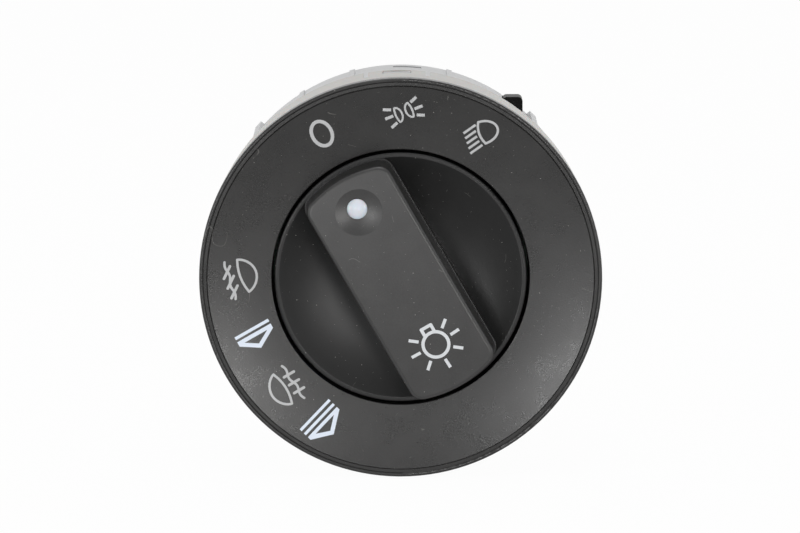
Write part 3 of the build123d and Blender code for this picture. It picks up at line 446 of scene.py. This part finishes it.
def band(mesh, seat, path, width, closed=True, over=0.0):
    """A flat band of even width along a path, rounded at sharp corners and at open ends."""
    path = [Vector(p) for p in path]
    count = len(path)
    legs = [(b - a).normalized() for a, b in zip(path, path[1:] + path[:1])]
    rims = []
    for n, point in enumerate(path):
        first, last = not closed and n == 0, not closed and n == count - 1
        into = legs[0 if first else n - 1]
        out_of = legs[n - 1 if last else n]
        bend = atan2(into.x * out_of.y - into.y * out_of.x, into.dot(out_of))
        steps = int(abs(bend) / corner_step)
        left = Vector((-into.y, into.x))
        pair = []
        for side in (1, -1):
            turns, reach = [bend / 2], width / 2 / max(cos(bend / 2), 0.5)
            if steps and side * bend < 0:
                turns, reach = [bend * k / steps for k in range(steps + 1)], width / 2
            arc = [seat(point + turned(left, t) * side * reach, over) for t in turns]
            pair.append([mesh.verts.new(place) for place in arc])
        rims.append(pair)
        inner, outer = sorted(pair, key=len)
        for a, b in zip(outer, outer[1:]):
            mesh.faces.new((inner[0], a, b))
        if first or last:
            heading = -into if first else into
            tip = [point + (left * cos(a) + heading * sin(a)) * width / 2 for a in cap_angles]
            cap = [mesh.verts.new(seat(place, over)) for place in tip]
            mesh.faces.new([pair[0][0], *cap, pair[1][0]])
    for n in range(count if closed else count - 1):
        (a, b), (c, d) = rims[n], rims[(n + 1) % count]
        mesh.faces.new((a[-1], c[0], d[0], b[-1]))


def laying_tree():
    """Geometry nodes that add a symbol's rays, then lay the symbol on a surface behind it."""
    tree = bpy.data.node_groups.new("lay_on_surface", "GeometryNodeTree")
    sockets = {}
    for name, kind, side in (
        ("Outline", "NodeSocketGeometry", "INPUT"),
        ("Surface", "NodeSocketObject", "INPUT"),
        ("Ray width", "NodeSocketFloat", "INPUT"),
        ("Lift", "NodeSocketFloat", "INPUT"),
        ("Start", "NodeSocketFloat", "INPUT"),
        ("Ink", "NodeSocketMaterial", "INPUT"),
        ("Symbol", "NodeSocketGeometry", "OUTPUT"),
    ):
        sockets[name] = tree.interface.new_socket(name, in_out=side, socket_type=kind).identifier
    graph = Graph(tree)
    given = graph.nodes.new("NodeGroupInput")
    surface, ray_width, lift, start, ink = (
        Wire(graph, given.outputs[name]) for name in ("Surface", "Ray width", "Lift", "Start", "Ink")
    )
    outline = Wire(graph, given.outputs["Outline"])
    faces = graph.add("GeometryNodeInputMeshVertexNeighbors", output="Face Count")
    split = graph.nodes.new("GeometryNodeSeparateGeometry")
    graph.feed(split.inputs["Geometry"], outline)
    graph.feed(split.inputs["Selection"], faces < 0.5)
    points = graph.add("GeometryNodeMeshToPoints", {}, {"Mesh": Wire(graph, split.outputs["Selection"])})
    grid_size = {"Size X": 1.0, "Size Y": 1.0, "Vertices X": 2, "Vertices Y": 4}
    grid = graph.add("GeometryNodeMeshGrid", {}, grid_size)
    upright = graph.add("GeometryNodeTransform", {}, {"Geometry": grid, "Rotation": (pi / 2, 0, 0)})
    turn = graph.add("GeometryNodeInputNamedAttribute", {"data_type": "FLOAT"}, {"Name": "turn"})
    long = graph.add("GeometryNodeInputNamedAttribute", {"data_type": "FLOAT"}, {"Name": "long"})
    spin = graph.add("ShaderNodeCombineXYZ", {}, {"Y": turn})
    size = graph.add("ShaderNodeCombineXYZ", {}, {"X": ray_width, "Y": 1.0, "Z": long})
    spread = {"Points": points, "Instance": upright, "Rotation": spin, "Scale": size}
    rays = graph.add("GeometryNodeInstanceOnPoints", {}, spread)
    join = graph.nodes.new("GeometryNodeJoinGeometry")
    graph.links.new(split.outputs["Inverted"], join.inputs[0])
    graph.feed(join.inputs[0], graph.add("GeometryNodeRealizeInstances", {}, {"Geometry": rays}))
    fine = graph.add("GeometryNodeSubdivideMesh", {}, {"Mesh": Wire(graph, join.outputs[0]), "Level": 2})
    place = graph.add("GeometryNodeInputPosition")
    back = graph.add("ShaderNodeSeparateXYZ", {}, {"Vector": place}, "Y") - start
    behind = graph.add("GeometryNodeObjectInfo", {}, {"Object": surface}, "Geometry")
    ray = {"Target Geometry": behind, "Ray Direction": (0, 1, 0), "Ray Length": cast_length}
    hit = graph.add("GeometryNodeRaycast", {}, ray, "Hit Position")
    proud = graph.add("ShaderNodeCombineXYZ", {}, {"Y": back - lift})
    seated = graph.add("ShaderNodeVectorMath", {"operation": "ADD"}, {0: hit, 1: proud})
    laid = graph.add("GeometryNodeSetPosition", {}, {"Geometry": fine, "Position": seated})
    real = graph.add("GeometryNodeRealizeInstances", {}, {"Geometry": laid})
    inked = graph.add("GeometryNodeSetMaterial", {}, {"Geometry": real, "Material": ink})
    result = graph.nodes.new("NodeGroupOutput")
    graph.feed(result.inputs["Symbol"], inked)
    return tree, sockets


laying, laying_sockets = laying_tree()


def lay(name, surface, middle, clock, ink, bands=(), panes=(), rays=(), ray_width=0.0):
    """A symbol on a CAD surface, of strokes of even width, filled panes and straight rays."""
    c = radians(clock)
    right, out = Vector((cos(c), 0, -sin(c))), Vector((sin(c), 0, cos(c)))

    def seat(point, over=0.0):
        at = Vector((middle.x, 0, middle.y)) + right * point[0] + out * point[1]
        return at * mm + Vector((0, mark_start - over, 0))

    shape = bmesh.new()
    turn = shape.verts.layers.float.new("turn")
    long = shape.verts.layers.float.new("long")
    for stroke in bands:
        band(shape, seat, **stroke)
    for pane in panes:
        shape.faces.new([shape.verts.new(seat(p)) for p in pane])
    for start, end in rays:
        start, end = Vector(start), Vector(end)
        vertex = shape.verts.new(seat((start + end) / 2, mark_over))
        vertex[turn] = c + atan2(end.x - start.x, end.y - start.y)
        vertex[long] = (end - start).length * mm
    bmesh.ops.remove_doubles(shape, verts=shape.verts, dist=merge_distance)
    for face in shape.faces:
        face.normal_update()
        if face.normal.y > 0:
            face.normal_flip()
    mesh = bpy.data.meshes.new(name)
    shape.to_mesh(mesh)
    shape.free()
    piece = bpy.data.objects.new(name, mesh)
    scene.collection.objects.link(piece)
    nodes = piece.modifiers.new("lay", "NODES")
    nodes.node_group = laying
    for socket, value in (
        ("Surface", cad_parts[surface]),
        ("Ray width", ray_width * mm),
        ("Lift", mark_lift),
        ("Start", mark_start),
        ("Ink", ink.material),
    ):
        nodes[laying_sockets[socket]] = value
    wall = piece.modifiers.new("thickness", "SOLIDIFY")
    wall.thickness = mark_thick
    wall.offset = 1
    depsgraph = bpy.context.evaluated_depsgraph_get()
    finished = bpy.data.meshes.new_from_object(piece.evaluated_get(depsgraph))
    piece.modifiers.clear()
    piece.data = finished
    return piece


def on_ring(name, clock, radius, ink, **parts):
    """A symbol on the front ring."""
    piece = lay(name, "front_ring", spoke(clock, radius), clock, ink, **parts)
    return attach(piece, "housing")


def half_lamp(middle, clock, half, depth, bow, width, swell=1.0):
    """The outline of a lamp: a bowed glass that lies along this clock angle, and its round shell.

    The glass reaches half each way from the middle. A swell over 1 makes the shell more pointed.
    """
    shell_steps = 16
    glass_steps = 6
    along = spoke(clock)
    behind = Vector((along.y, -along.x))
    arc = [pi * n / shell_steps for n in range(shell_steps)]
    shell = [(half * cos(a), depth * sin(a) ** swell) for a in arc]
    chord = [2 * n / glass_steps - 1 for n in range(glass_steps)]
    glass = [(half * share, -bow * (1 - share**2)) for share in chord]
    path = [Vector(middle) + along * a + behind * b for a, b in shell + glass]
    return {"path": path, "width": width}


etched = moulded(
    "etched_symbol", (0.46, 0.465, 0.47), roughness=0.5, grain=0.12 * mm, depth=0.004 * mm, clouding=0.05
)
printed = moulded(
    "printed_symbol", (0.70, 0.76, 0.86), roughness=0.5, grain=0.12 * mm, depth=0.003 * mm, clouding=0.02
)

off_stroke = 0.75
off_half = (2.46 - off_stroke / 2, 3.18 - off_stroke / 2)
off_ring = {"path": oval(*off_half), "width": off_stroke}
on_ring("mark_off", clock=-28.3, radius=35.32, ink=etched, bands=[off_ring])

# The side lights are two small lamps back to back, with three rays each.
side_lamps = [
    half_lamp((s * 1.42, s * 0.63), clock=64.8 + s * 90, half=1.65, depth=1.1, bow=0.3, width=0.41)
    for s in (-1, 1)
]
upper_ray = ((-4.47, 0.51), (-2.74, 0.49))
middle_ray = ((-3.93, -1.54), (-2.25, -0.81))
lower_ray = ((-2.54, -3.42), (-1.34, -2.22))
left_rays = [(Vector(a), Vector(b)) for a, b in (upper_ray, middle_ray, lower_ray)]
side_rays = left_rays + [(-a, -b) for a, b in left_rays]
on_ring(
    "mark_side_lights",
    clock=1.1,
    radius=35.64,
    ink=etched,
    bands=side_lamps,
    rays=side_rays,
    ray_width=0.64,
)

# The headlights are one lamp with five beams, the outer ones longer.
beam_way = Vector((0.42, 0.907))
beam_length, beam_growth = 2.66, 0.13
first_end, end_step = Vector((-3.41, -2.01)), Vector((0.85, -0.775))
head_beams = []
for k in (-2, -1, 0, 1, 2):
    end = first_end + end_step * (k + 2)
    head_beams.append((end, end + beam_way * (beam_length + beam_growth * k**2)))
head_lamp = half_lamp((-0.07, 0.02), clock=-48.3, half=2.45, depth=3.5, bow=0.62, width=0.5)
on_ring(
    "mark_headlights",
    clock=29.0,
    radius=35.69,
    ink=etched,
    bands=[head_lamp],
    rays=head_beams,
    ray_width=0.51,
)


def fog_light(name, clock, radius, lamp, first_beam, beam_step, beam_run, wave_ends, swing):
    """A lamp with three beams, and the wavy line of the fog across them."""
    line_width, beam_width = 0.5, 0.58
    swell = 1.35
    wave_steps, wave_turns = 24, 2
    strokes = [half_lamp(**lamp, width=line_width, swell=swell)]
    for k in range(3):
        start = Vector(first_beam) + Vector(beam_step) * k
        beam = [start, start + Vector(beam_run)]
        strokes.append({"path": beam, "width": beam_width, "closed": False, "over": mark_over})
    start, end = Vector(wave_ends[0]), Vector(wave_ends[1])
    run = end - start
    across = Vector((-run.y, run.x)).normalized() * swing
    shares = [n / wave_steps for n in range(wave_steps + 1)]
    path = [start + run * share + across * sin(2 * pi * wave_turns * share) for share in shares]
    strokes.append({"path": path, "width": line_width, "closed": False})
    on_ring(name, clock, radius, ink=etched, bands=strokes)


fog_light(
    "mark_front_fog",
    clock=-89.2,
    radius=34.24,
    lamp={"middle": (0.02, -0.6), "clock": 69.4, "half": 3.68, "depth": 2.88, "bow": 0.65},
    first_beam=(2.08, 2.22),
    beam_step=(-2.1, -0.82),
    beam_run=(-2.68, 1.24),
    wave_ends=((2.96, 3.37), (-5.0, 0.95)),
    swing=-0.24,
)
fog_light(
    "mark_rear_fog",
    clock=-133.6,
    radius=33.94,
    lamp={"middle": (0.0, 0.94), "clock": -78.7, "half": 3.7, "depth": 2.66, "bow": 0.7},
    first_beam=(1.63, -0.99),
    beam_step=(-1.99, 0.405),
    beam_run=(-0.57, -2.34),
    wave_ends=((3.68, -2.32), (-4.6, -1.02)),
    swing=0.28,
)


def pull_knob(name, clock, radius, tilt, edge, middle, half, cut, wall, hollow, bars, bar_width):
    """An arrow that points away from its bars: one bar for one click out, two for two.

    The arrow's straight side reaches half each way along edge, its corners are cut, and its
    hollow leaves a wall. All of it is turned by tilt.
    """
    turn = radians(tilt)
    point_reach, point_rise = 3.58, 0.2
    hollow_reach, hollow_rise = 2.54, 0.16

    def at(x, y):
        y += middle
        return (x * cos(turn) + y * sin(turn), y * cos(turn) - x * sin(turn))

    a, b = at(edge, half), at(edge - cut, half)
    c = at(edge - point_reach, point_rise)
    d, e = at(edge - cut, -half), at(edge, -half)
    p, r = at(edge - wall, hollow), at(edge - wall, -hollow)
    q = at(edge - hollow_reach, hollow_rise)
    on_ring(
        name,
        clock,
        radius,
        ink=printed,
        panes=[(a, b, p), (b, c, q, p), (c, d, r, q), (d, e, r), (e, a, p, r)],
        rays=[(at(edge + bar, half), at(edge + bar, -half)) for bar in bars],
        ray_width=bar_width,
    )


pull_knob(
    "mark_pull_one",
    clock=-110.9,
    radius=33.47,
    tilt=-7.9,
    edge=0.11,
    middle=0.08,
    half=4.06,
    cut=1.06,
    wall=0.85,
    hollow=2.78,
    bars=(0.87,),
    bar_width=0.67,
)
pull_knob(
    "mark_pull_two",
    clock=-150.4,
    radius=35.31,
    tilt=14.7,
    edge=-0.82,
    middle=-0.08,
    half=4.44,
    cut=0.8,
    wall=0.72,
    hollow=2.8,
    bars=(0.89, 2.15),
    bar_width=0.62,
)

# Knob body: the scooped disc that turns, with the plinth that carries the grip. It is moulded in
# a finer grain than the ring, and more dust lies on it.
knob = handled(
    "knob_plastic", (0.0060, 0.0060, 0.0060), roughness=0.36, grain=0.13 * mm, depth=0.010 * mm, dust=0.9
)
knob.shader.inputs["Specular IOR Level"].default_value = 0.33
dress(knob, "knob_body")

# Grip cap: the hollow bar that the hand turns, snapped over the plinth's rib. Its soft-touch
# lacquer is a shade paler than the disc, and it carries the printed bulb.
grip = handled(
    "grip_lacquer", (0.0172, 0.0168, 0.0166), roughness=0.36, grain=0.15 * mm, depth=0.013 * mm, dust=0.9
)
dress(grip, "grip_cap")

grip_clock = -30.0
bulb_along = -14.97
bulb_stroke = 0.7
bulb_r = 2.75
base_half = 1.15
base_start, base_top = 2.5, 4.25
bulb_angles = (50, 86, 128, 178, 227, 271, 308)
ray_start, ray_end = 3.72, 5.86
bulb_ink = moulded(
    "printed_bulb", (0.62, 0.64, 0.66), roughness=0.5, grain=0.12 * mm, depth=0.003 * mm, clouding=0.02
)
glass = {"path": oval(bulb_r, bulb_r, count=36), "width": bulb_stroke}
left_wall = [(-base_half, base_start), (-base_half, base_top)]
right_wall = [(base_half, base_top), (base_half, base_start)]
base = {"path": left_wall + right_wall, "width": bulb_stroke, "closed": False, "over": mark_over}
bulb = lay(
    "mark_bulb",
    "grip_cap",
    middle=spoke(grip_clock, bulb_along),
    clock=grip_clock,
    ink=bulb_ink,
    bands=[glass, base],
    rays=[(spoke(angle, ray_start), spoke(angle, ray_end)) for angle in bulb_angles],
    ray_width=0.67,
)
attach(bulb, "knob")

# Pointer dot: a domed light pipe of opal acrylic in the dimple at the end of the grip.
# It is polished, so that the soft boxes show in it as small bright patches.
lens = Finish("opal_acrylic")
milk = lens.noise(1.5 * mm)
milky = lens.blend(milk, (0.61, 0.65, 0.71, 1), (0.67, 0.71, 0.77, 1))
lens.shade(milky, 0.16 + 0.06 * milk)
lens.shader.inputs["Subsurface Weight"].default_value = 0.3
lens.shader.inputs["Subsurface Scale"].default_value = 0.8 * mm
dress(lens, "indicator_lens")

# Studio: a white floor that the ring's rim stands on, white all round for the camera and for
# reflections, and soft boxes beside the camera, at both sides of the switch and overhead.
floor_half = 4.0
floor_gap = 0.1 * mm
seen_share = 0.97
sky_level = 0.42


def seen(graph):
    """1 for rays from the camera and for those that gloss and glass send on."""
    path = graph.nodes.new("ShaderNodeLightPath")
    names = ("Is Camera Ray", "Is Glossy Ray", "Is Transmission Ray")
    camera_ray, glossy_ray, glass_ray = (Wire(graph, path.outputs[name]) for name in names)
    clamped_sum = {"operation": "ADD", "use_clamp": True}
    return graph.add("ShaderNodeMath", clamped_sum, {0: camera_ray + glossy_ray, 1: glass_ray})


floor_mesh = bmesh.new()
bmesh.ops.create_grid(floor_mesh, x_segments=8, y_segments=8, size=floor_half)
bmesh.ops.translate(floor_mesh, verts=floor_mesh.verts, vec=(0, 0, cad_box[0].z - floor_gap))
floor_data = bpy.data.meshes.new("floor")
floor_mesh.to_mesh(floor_data)
floor_mesh.free()
floor = bpy.data.objects.new("floor", floor_data)
scene.collection.objects.link(floor)
paper = Finish("white_paper")
paper.shade((0.9, 0.9, 0.9, 1), 0.9)
matt = Wire(paper, paper.shader.outputs[0])
glow = paper.add("ShaderNodeEmission", {}, {"Strength": 1.0})
mixed = paper.add("ShaderNodeMixShader", {}, {0: seen(paper) * seen_share, 1: matt, 2: glow})
paper.feed(paper.nodes["Material Output"].inputs["Surface"], mixed)
floor_data.materials.append(paper.material)

sky = bpy.data.worlds.new("studio_white")
sky.use_nodes = True
scene.world = sky
air = Graph(sky.node_tree)
air.feed(air.nodes["Background"].inputs["Strength"], seen(air) * (1 - sky_level) + sky_level)
air.feed(air.nodes["Background"].inputs["Color"], (1, 1, 1, 1))


def soft_box(name, aim, distance, width, height, level, colour=(1, 1, 1)):
    """A soft box that faces the switch from the direction aim, as bright as level."""
    lamp_data = bpy.data.lights.new(name, "AREA")
    lamp_data.shape = "RECTANGLE"
    lamp_data.size = width
    lamp_data.size_y = height
    lamp_data.energy = level * pi * width * height
    lamp_data.color = colour
    box = bpy.data.objects.new(name, lamp_data)
    box.location = Vector(aim).normalized() * distance
    box.rotation_mode = "QUATERNION"
    box.rotation_quaternion = Vector(aim).to_track_quat("Z", "Y")
    box.visible_camera = False
    scene.collection.objects.link(box)


front_box = {"distance": 1.15, "width": 0.28, "height": 0.34}
side_box = {"distance": 1.2, "width": 0.5, "height": 0.9, "level": 2.4}
top_box = {"distance": 1.1, "width": 0.8, "height": 0.6, "level": 2.2}
soft_box("soft_box_left", (-0.32, -0.94, -0.07), level=24.0, **front_box)
soft_box("soft_box_right", (0.31, -0.95, -0.05), level=18.0, colour=(1.0, 0.99, 0.98), **front_box)
soft_box("side_box_left", (-1.0, -0.4, -0.05), **side_box)
soft_box("side_box_right", (1.0, -0.4, -0.05), **side_box)
soft_box("soft_box_top", (0.0, -0.25, 1.0), **top_box)
